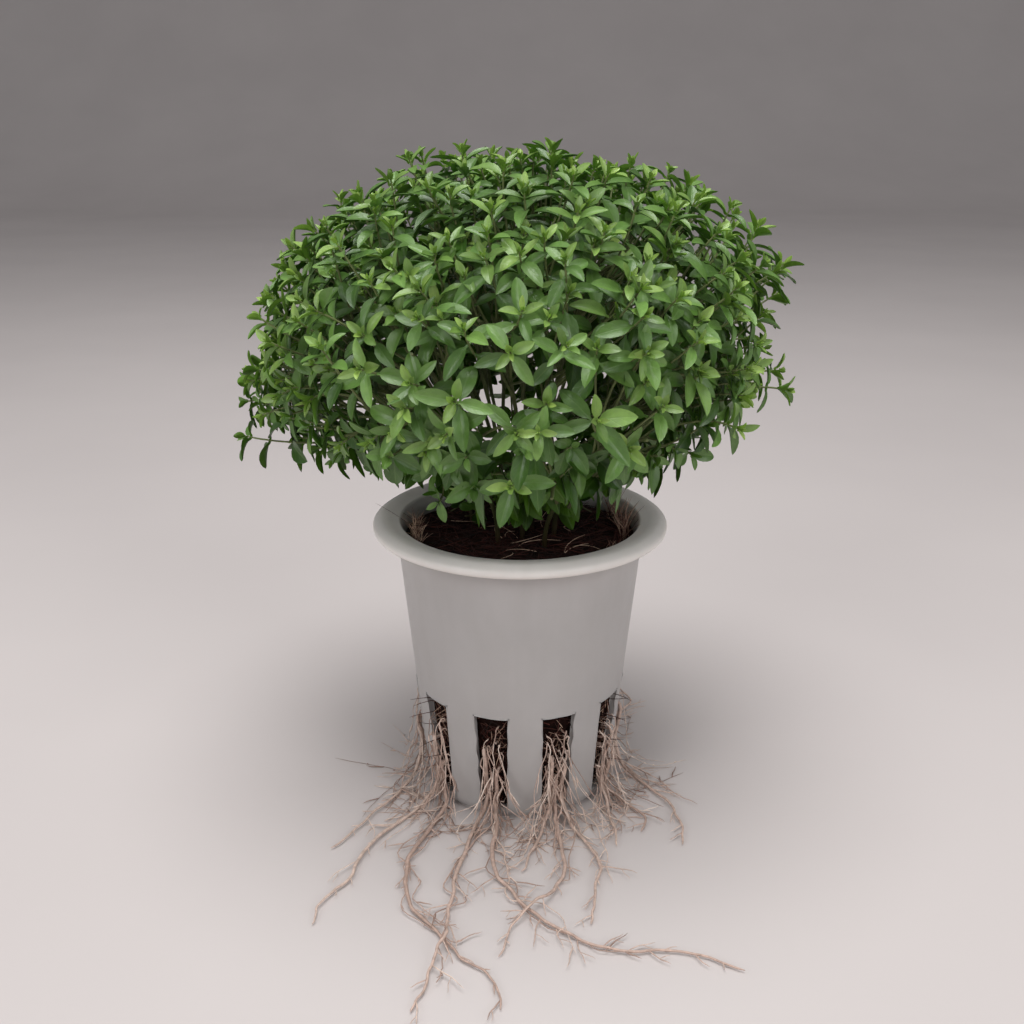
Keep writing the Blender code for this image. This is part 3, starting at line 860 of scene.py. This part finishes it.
# From the tip of a shoot downwards: distance back, leaf length, width as a share of it, lift, arch, age
ROSETTE = (
    (0.1, 1.2, 0.42, 80, 5, 0.00),
    (0.5, 2.4, 0.42, 64, 12, 0.10),
    (1.2, 4.2, 0.40, 46, 22, 0.26),
    (2.3, 6.1, 0.38, 28, 26, 0.45),
    (4.8, 6.8, 0.38, 12, 28, 0.62),
    (8.6, 6.4, 0.42, 0, 26, 0.82),
    (12.8, 5.8, 0.50, -10, 22, 1.00),
)
# Twigs low on the plant carry only old leaves, broad and hanging
LOW_LEAVES = (
    (0.2, 2.6, 0.52, 60, 10, 0.45),
    (0.9, 4.4, 0.54, 24, 24, 0.72),
    (4.2, 5.2, 0.60, 0, 26, 0.90),
    (8.2, 5.4, 0.64, -14, 22, 1.00),
)


def add_shoot(parts, route, size, pairs, stem_radius, droop):
    """Leaf pairs along the last stretch of a twig, each pair crossing the one before."""
    reach = distances(route)
    turn = 2 * pi * chance.random()
    for back, length, share, lift, arch, age in pairs:
        distance = reach[-1] - back * size * MM
        if distance < 0.12 * reach[-1]:
            break
        k = min(np.searchsorted(reach, distance), len(route) - 1)
        t = (distance - reach[k - 1]) / (reach[k] - reach[k - 1] + 1e-12)
        place = route[k - 1] + (route[k] - route[k - 1]) * t
        ahead = unit(route[k] - route[k - 1])
        side = unit(np.cross(ahead, (0.2, 0.1, 1.0)))
        other = np.cross(ahead, side)
        turn += pi / 2 + chance.normal(0, 0.16)
        for half in (0, pi):
            angle = turn + half + chance.normal(0, 0.12)
            outward = cos(angle) * side + sin(angle) * other
            long = length * size * MM * chance.uniform(0.84, 1.14)
            add_leaf(parts, place + outward * stem_radius * 0.5, ahead, outward, long,
                     long * share * chance.uniform(0.86, 1.14), radians(lift + chance.normal(0, 10)),
                     radians(arch + chance.normal(0, 12)), droop * age * chance.uniform(0.2, 1.2),
                     chance.normal(0, 0.28), chance.uniform(0.25, 0.75),
                     min(1, max(0, age + chance.normal(0, 0.08))))


# ---- plants

def dome_direction(tilt, heading):
    """Direction at an angle from straight up, towards a heading."""
    return np.array((sin(tilt) * cos(heading), sin(tilt) * sin(heading), cos(tilt)))


def dome_point(direction, depth):
    """Point below the dome's surface along a direction from its centre."""
    rise = DOME_RISE if direction[2] > 0 else DOME_DROP
    size = 1.0
    for heading, tilt, amount, width in DOME_BULGES:
        apart = np.arccos(np.clip(direction.dot(dome_direction(radians(tilt), radians(heading))), -1, 1))
        size += amount * np.exp(-(apart / radians(width)) ** 2)
    return np.array(DOME_CENTRE) + direction * (np.array((DOME_RADIUS, DOME_RADIUS, rise)) * size - depth)


def node_points(name):
    return np.array([v.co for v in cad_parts[name].data.vertices])


def shoot_axis(name):
    """A modelled shoot's foot, where it leaves its stem, and its tip."""
    points = node_points(name)
    heart = np.array((0, 0, COIR_TOP - 10 * MM))
    foot = points[np.argmin(np.linalg.norm(points - heart, axis=1))]
    tip = points[np.argmax(np.linalg.norm(points - foot, axis=1))]
    return foot, tip


def layer_of_tips(count, highest, lowest, depth, jitter):
    """Directions and depths of twig tips spread evenly over a zone of the dome between two tilts."""
    tips = []
    for k in range(count):
        level = cos(highest) + (cos(lowest) - cos(highest)) * (k + 0.5) / count
        direction = unit(dome_direction(np.arccos(level), k * GOLDEN_ANGLE) + chance.normal(0, jitter, 3))
        tips.append((direction, (depth + chance.normal(0, 1.9)) * MM))
    return tips


def twig_aim(direction):
    """Way that a twig's tip points: outward, and always turning up towards the light."""
    rise = 0.20 + 0.40 * max(-0.4, direction[2])
    return unit(direction * 0.8 + np.array((0, 0, rise)) + chance.normal(0, 0.16, 3))


def crowds(direction, chosen):
    """Whether a twig's tip would stand in front of one of the large rosettes."""
    return max(direction.dot(c) for c in chosen) > cos(ROSETTE_ROOM)


def twig_tips():
    """End, aim, size, leaf pairs and droop of every twig."""
    chosen = [dome_direction(radians(tilt), radians(heading)) for heading, tilt, _, _ in FRONT_ROSETTES]
    tips = []
    for (_, _, depth, size), direction in zip(FRONT_ROSETTES, chosen):
        aim = unit(direction * (1, 1, 0.3) + np.array((0, -0.35, 0.30)))
        tips.append((dome_point(direction, depth * MM), aim, size, ROSETTE[:5], 0.25))
    for direction, depth in layer_of_tips(OUTER_TIPS, 0, radians(116), 5.6, 0.05):
        if crowds(direction, chosen):
            continue
        if direction[2] < 0.2 and chance.random() < GAP_SHARE:
            continue
        droop = 0.12 + 0.35 * max(0.0, -direction[2])
        tips.append((dome_point(direction, depth), twig_aim(direction), chance.uniform(0.74, 1.04),
                     ROSETTE[:6], droop))
    for direction, depth in layer_of_tips(INNER_TIPS, 0, radians(72), 13.0, 0.07):
        tips.append((dome_point(direction, depth), twig_aim(direction), chance.uniform(0.85, 1.1),
                     ROSETTE[1:], 0.2))
    for direction, depth in layer_of_tips(LOW_TIPS, radians(110), radians(166), 7.0, 0.08):
        if crowds(direction, chosen):
            continue
        aim = unit(direction * (1, 1, 0.3) + np.array((0, 0, 0.15)) + chance.normal(0, 0.2, 3))
        tips.append((dome_point(direction, depth), aim, chance.uniform(0.85, 1.1), LOW_LEAVES, 0.55))
    for k in range(BASE_TIPS):
        outward = outward_at(k * GOLDEN_ANGLE)
        end = outward * chance.uniform(5, 15) * MM + UP * (POT_HEIGHT + chance.uniform(1, 10) * MM)
        aim = unit(outward + np.array((0, 0, -0.1)) + chance.normal(0, 0.25, 3))
        tips.append((end, aim, chance.uniform(0.8, 1.0), LOW_LEAVES[2:], 0.5))
    return tips


def nearest(direction, axes):
    """Number of the shoot that points closest to a direction."""
    ways = [unit(tip - np.array(DOME_CENTRE)) for _, tip in axes]
    return int(np.argmax([way.dot(direction) for way in ways]))


def make_sprays(materials):
    """Each modelled shoot becomes a spray: its own axis, and twigs to all the tips nearest to it."""
    axes = [shoot_axis(name) for name in SHOOTS]
    sprays = [Parts() for _ in SHOOTS]
    routes = []
    for (foot, tip), spray in zip(axes, sprays):
        middle = foot + UP * np.linalg.norm(tip - foot) * 0.25 + (tip - foot) * 0.25
        route = bend(foot, middle, foot + (tip - foot) * 0.75, 12)
        add_tube(spray, route, np.linspace(*AXIS_RADII, 12) * MM, 6, (0.35, chance.random(), 0, 1), 2)
        routes.append(route)
    for end, aim, size, pairs, droop in twig_tips():
        k = nearest(unit(end - np.array(DOME_CENTRE)), axes)
        start = routes[k][int(chance.integers(2, 9))]
        distance = np.linalg.norm(end - start)
        twig = bend(start, end - aim * distance * 0.42, end, 10)
        add_tube(sprays[k], twig, np.linspace(*TWIG_RADII, 10) * MM, 5, (0.6, chance.random(), 0, 1), 2)
        add_shoot(sprays[k], twig, size, pairs, 0.25 * MM, droop)
    for name, spray in zip(SHOOTS, sprays):
        piece = spray.make(name.replace("shoot", "spray"), materials, radians(75))
        settle(piece, "leaf", name)


def make_stems(material):
    """Slender stems with thicker joints, from the coir up to where the shoots take over."""
    for name in STEMS:
        points = node_points(name)
        base = points[points[:, 2] < points[:, 2].min() + 0.1 * MM].mean(axis=0)
        far = np.linalg.norm(points - base, axis=1)
        top = points[far > far.max() - 1.2 * MM].mean(axis=0)
        ground = base + (0, 0, COIR_TOP - base[2])
        rise = (0, 0, (top[2] - COIR_TOP) * 0.5)
        route = np.concatenate([[base], bend(ground, ground + rise, top, 16)])
        swell = 1 + 0.18 * (np.sin(np.linspace(0, 5 * pi, len(route))) > 0.92)
        parts = Parts()
        radii = np.linspace(*STEM_RADII, len(route)) * MM * swell
        add_tube(parts, route, radii, 8, (0.5, chance.random(), 0, 1))
        settle(parts.make("green_" + name, [material]), "stem", name)


# ---- roots

# Each root: its slot, the height of its mouth and its offset across the slot, all in millimetres,
# then its way: out from the pot's foot, sideways from the slot, and up
ROOTS = (
    (9, 12.0, 1.0, ((10, 2, 2.6), (17, 5, 0.9), (23, 10, 0.9), (28, 17, 0.9), (32, 25, 0.8),
                    (32, 33, 0.8), (30, 43, 0.7), (31, 53, 0.6))),
    (9, 16.5, -1.4, ((12, -3, 3.0), (20, -2, 0.9), (28, 0, 0.9), (34, 1, 1.2), (39, 2, 2.4),
                     (44, 2, 1.2), (50, 2, 0.8), (55, 2, 0.6))),
    (8, 10.0, 1.0, ((12, 6, 2.2), (17, 12, 0.9), (22, 17, 0.9), (25, 24, 0.8), (26, 34, 0.8),
                    (26, 40, 0.8), (25, 47, 0.7), (28, 54, 0.6))),
    (8, 15.0, -1.2, ((13, -2, 3.0), (21, 4, 0.9), (30, 10, 0.8), (37, 13, 0.8), (42, 17, 0.6))),
    (7, 14.0, 0.8, ((6, 8, 3.0), (10, 15, 0.9), (14, 21, 0.8), (19, 28, 0.6))),
    (0, 15.0, -1.5, ((8, -6, 3.0), (12, -10, 0.9), (15, -13, 0.6))),
    (0, 9.0, 0.0, ((10, -2, 2.2), (16, -4, 0.9), (22, -9, 0.9), (26, -14, 2.4), (29, -20, 0.9),
                   (35, -25, 0.6))),
    (0, 13.0, 1.6, ((9, 3, 2.6), (17, 2, 0.9), (22, 0, 0.9), (29, -4, 0.8), (33, -7, 0.6))),
    (1, 13.0, -0.6, ((7, -5, 2.6), (10, -10, 0.9), (12, -14, 0.6))),
    (1, 9.0, 1.4, ((8, 1, 1.6), (12, -2, 0.9), (14, -7, 0.6))),
    (2, 15.0, 0.5, ((7, -8, 3.0), (11, -16, 0.9), (12, -23, 0.8), (11, -30, 0.6))),
    (3, 12.0, 0.0, ((11, 2, 2.2), (19, 5, 0.9), (23, 12, 0.6))),
    (4, 10.0, 0.6, ((12, 2, 2.2), (21, 2, 0.9), (29, -1, 0.6))),
    (5, 11.0, 0.0, ((12, -1, 2.2), (19, 1, 0.9), (25, -1, 0.6))),
)


def keep_clear(route, radius):
    """Roots stay above the surface and outside the pot once they are out of their slot."""
    route[:, 2] = np.maximum(route[:, 2], radius)
    out = np.hypot(route[:, 0], route[:, 1])
    wall = np.array([outer_radius(z) for z in route[:, 2]]) + radius
    push = np.where(np.arange(len(route)) > 1, np.maximum(wall / (out + 1e-9), 1), 1)
    route[:, :2] *= push[:, None]
    return route


def wander(route, amount):
    """A root's small irregular bends, sideways to its way, none at its start."""
    steps = len(route)
    along = np.linspace(0, 1, steps)
    length = np.linalg.norm(np.diff(route, axis=0), axis=1).sum()
    sway = sum(np.sin(along * length / (wave * MM) * 2 * pi + 6 * chance.random()) * share
               for wave, share in ((17, 0.6), (7.5, 0.3), (3.6, 0.12)))
    ahead = unit(np.gradient(route, axis=0))
    side = unit(np.cross(ahead, (0, 0, 1)) + 1e-6)
    return route + side * (sway * amount * MM * np.minimum(1, along * 4))[:, None]


def root_route(slot, height, aside, way, stray=0.0):
    """From inside the slot, through its mouth and along its way, moved about by stray millimetres."""
    outward, sideways = outward_at(slot_angle(slot)), sideways_at(slot_angle(slot))
    up = np.array(UP)
    height, aside = height * MM, aside * MM
    start = outward * (outer_radius(height) - WALL - 0.5 * MM) + sideways * aside + up * height
    mouth = outward * (outer_radius(height) + 0.7 * MM) + sideways * aside + up * height
    foot = outward * FOOT_RADIUS
    onward = [foot + (outward * out + sideways * side + up * rise) * MM for out, side, rise in way]
    for k, point in enumerate(onward):
        share = (k + 1) / len(onward)
        point[:2] += chance.normal(0, stray * (0.4 + share), 2) * MM
    return wander(smooth_route([start, mouth] + onward, 8), 0.5 + 0.4 * stray)


def add_root(parts, route, thick, thin, shade, corners=5):
    """A tapering strand. Gives back the route it took."""
    steps = len(route)
    wobble = 1 + 0.08 * np.sin(np.linspace(0, 9, steps) + 6 * chance.random())
    swell = np.minimum(1, 0.65 + 1.2 * np.linspace(0, 1, steps))
    radii = np.linspace(thick, thin, steps) * MM * wobble * swell
    radii[-1] *= 0.4
    route = keep_clear(route, radii.max())
    tag = np.zeros((steps, 4))
    tag[:, 0] = shade
    tag[:, 1] = chance.random()
    add_tube(parts, route, radii, corners, tag)
    return route


def side_root(start, ahead, angle, length, dip):
    """A curved fine root that leaves another at an angle and bends back along it."""
    x, y, _ = ahead
    way = unit((x * cos(angle) - y * sin(angle), x * sin(angle) + y * cos(angle), dip))
    t = np.linspace(0, 1, 8)[:, None]
    bow = np.array((-way[1], way[0], 0)) * -np.sign(angle) * chance.uniform(0.0, 0.3)
    ripple = np.cross(way, (0, 0, 1)) * 0.03 * np.sin(9 * t + 6 * chance.random())
    return start + (way * t + bow * t ** 2 + ripple * t) * length


def add_side_roots(parts, route, first, spacing, longest, shade, finer=True):
    """Side roots every few millimetres, now left and now right, the longer ones with one of their own."""
    reach = distances(route)
    place = first * MM
    while place < reach[-1] - 2 * MM:
        k = min(np.searchsorted(reach, place), len(route) - 1)
        ahead = unit(route[k] - route[k - 1])
        dip = chance.uniform(-1.2, -0.4) if route[k][2] > 2 * MM else chance.uniform(0, 0.06)
        angle = chance.choice((-1, 1)) * radians(chance.uniform(28, 70))
        length = longest * MM * chance.uniform(0.2, 1.0) ** 1.5
        fine = add_root(parts, side_root(route[k], ahead, angle, length, dip), *SIDE_ROOT_RADII,
                        shade + chance.uniform(-0.15, 0.15), 4)
        if finer and length > 4 * MM:
            onward = side_root(fine[4], unit(fine[5] - fine[4]), -angle, length * 0.45, dip * 0.3)
            add_root(parts, onward, *HAIR_ROOT_RADII, shade, 3)
        place += spacing * MM * chance.uniform(0.5, 1.6)


def hanging(way, height):
    """A way whose first point is replaced by two: down close to the wall, then out where the root lands."""
    _, side, _ = way[0]
    return [(1.6, side * 0.3, height * 0.42), (5.0, side * 0.75, 0.9)] + list(way[1:])


def add_companions(bundle, slot, height, way):
    """Thinner strands that leave the same slot and go part of the way."""
    for _ in range(COMPANIONS):
        last = max(2, len(way) - int(chance.integers(1, 5)))
        rise = min(22, max(4.5, height + chance.uniform(-7, 6)))
        offset = chance.uniform(-2.4, 2.4)
        shade = 0.5 + chance.uniform(-0.3, 0.35)
        route = root_route(slot, rise, offset, hanging(way[:last], rise), 1.5)
        route = add_root(bundle, route, chance.uniform(0.15, 0.30), 0.08, shade)
        add_side_roots(bundle, route, 12, 6.5, 6, shade + 0.05, False)


def add_skirt(bundles):
    """Short thin roots from all the slots, down to the surface round the pot's foot."""
    for _ in range(SKIRT_ROOTS):
        which = int(chance.integers(0, len(ROOTS)))
        height = 3.6 + 17 * chance.random() ** 1.8
        aside = chance.uniform(-2.6, 2.6)
        out = chance.uniform(1.4, 9)
        side = aside + chance.normal(0, 6)
        way = [(out * 0.4 + 0.8, aside * 0.6 + side * 0.4, height * 0.5), (out, side, 0.5)]
        if chance.random() < 0.7:
            way.append((out + chance.uniform(0.5, 7), side + chance.normal(0, 7), 0.3))
        shade = 0.5 + chance.uniform(-0.35, 0.4)
        route = root_route(ROOTS[which][0], height, aside, way, 0.5)
        route = add_root(bundles[which], route, chance.uniform(0.09, 0.19), 0.05, shade, 4)
        add_side_roots(bundles[which], route, 9, 5.0, 4.5, shade, False)


def make_roots(material):
    """Each modelled root becomes a strand with thinner companions, side roots and its share of the skirt."""
    bundles = [Parts() for _ in ROOTS]
    for bundle, (slot, height, aside, way) in zip(bundles, ROOTS):
        shade = 0.5 + chance.uniform(-0.1, 0.15)
        route = root_route(slot, height, aside, hanging(way, height))
        route = add_root(bundle, route, *STRAND_RADII, shade)
        add_side_roots(bundle, route, 12, 4.0, 8, shade + 0.05)
        add_companions(bundle, slot, height, way)
    add_skirt(bundles)
    for name, bundle in zip(ROOT_NODES, bundles):
        settle(bundle.make(name.replace("root", "rootlets"), [material]), "root", name)


# ---- stage, light and camera

def make_floor(material):
    """A pale floor that curves up far behind."""
    half, run, turn = 3.0, 1.6, 0.9
    section = [(-half, 0.0), (run, 0.0)]
    section += [(run + turn * sin(a), turn - turn * cos(a)) for a in (radians(d) for d in range(6, 91, 6))]
    section.append((run + turn, 3.0))
    points = [(x, y, z) for y, z in section for x in (-half, half)]
    faces = [[2 * k, 2 * k + 1, 2 * k + 3, 2 * k + 2] for k in range(len(section) - 1)]
    mesh = bpy.data.meshes.new("floor")
    mesh.from_pydata(points, [], faces)
    mesh.materials.append(material)
    mesh.shade_smooth()
    new_object("floor", mesh)


def add_lamp(name, place, size, power):
    """A round soft lamp that faces the top of the pot."""
    light = bpy.data.lights.new(name, "AREA")
    light.shape = "DISK"
    light.size = size
    light.energy = power
    lamp = new_object(name, light)
    lamp.location = place
    lamp.rotation_euler = (Vector((0, 0, POT_HEIGHT)) - Vector(place)).to_track_quat("-Z", "Y").to_euler()


def add_surround():
    world = bpy.data.worlds.new("soft_surround")
    world.use_nodes = True
    background = world.node_tree.nodes["Background"]
    background.inputs["Color"].default_value = (0.95, 0.97, 1.0, 1)
    background.inputs["Strength"].default_value = SURROUND_STRENGTH
    bpy.context.scene.world = world


def add_camera():
    camera_data = bpy.data.cameras.new("camera")
    camera_data.lens = CAMERA_LENS
    camera_data.clip_start = 0.01
    camera = new_object("camera", camera_data)
    camera.location = CAMERA_PLACE
    camera.rotation_euler = (pi / 2 - CAMERA_PITCH, 0, 0)
    bpy.context.scene.camera = camera


def main():
    bpy.context.scene.view_settings.view_transform = "Standard"
    add_camera()
    make_pot(pot_material())
    make_coir(soil_material())
    make_coir_fibres(strand_material("coir_fibre", COIR_COLOURS, 1500, 0.8, 0.3))
    stem = strand_material("green_stem", STEM_COLOURS, 500, 0.5, 0.3, True)
    make_stems(stem)
    top = leaf_material("leaf_top", LEAF_COLOURS)
    under = leaf_material("leaf_underside", UNDERSIDE_COLOURS, True)
    make_sprays([top, under, stem])
    make_roots(strand_material("root", ROOT_COLOURS, 900, 0.6, 0.4))
    make_floor(floor_material())
    for lamp in LAMPS:
        add_lamp(*lamp)
    add_surround()


main()
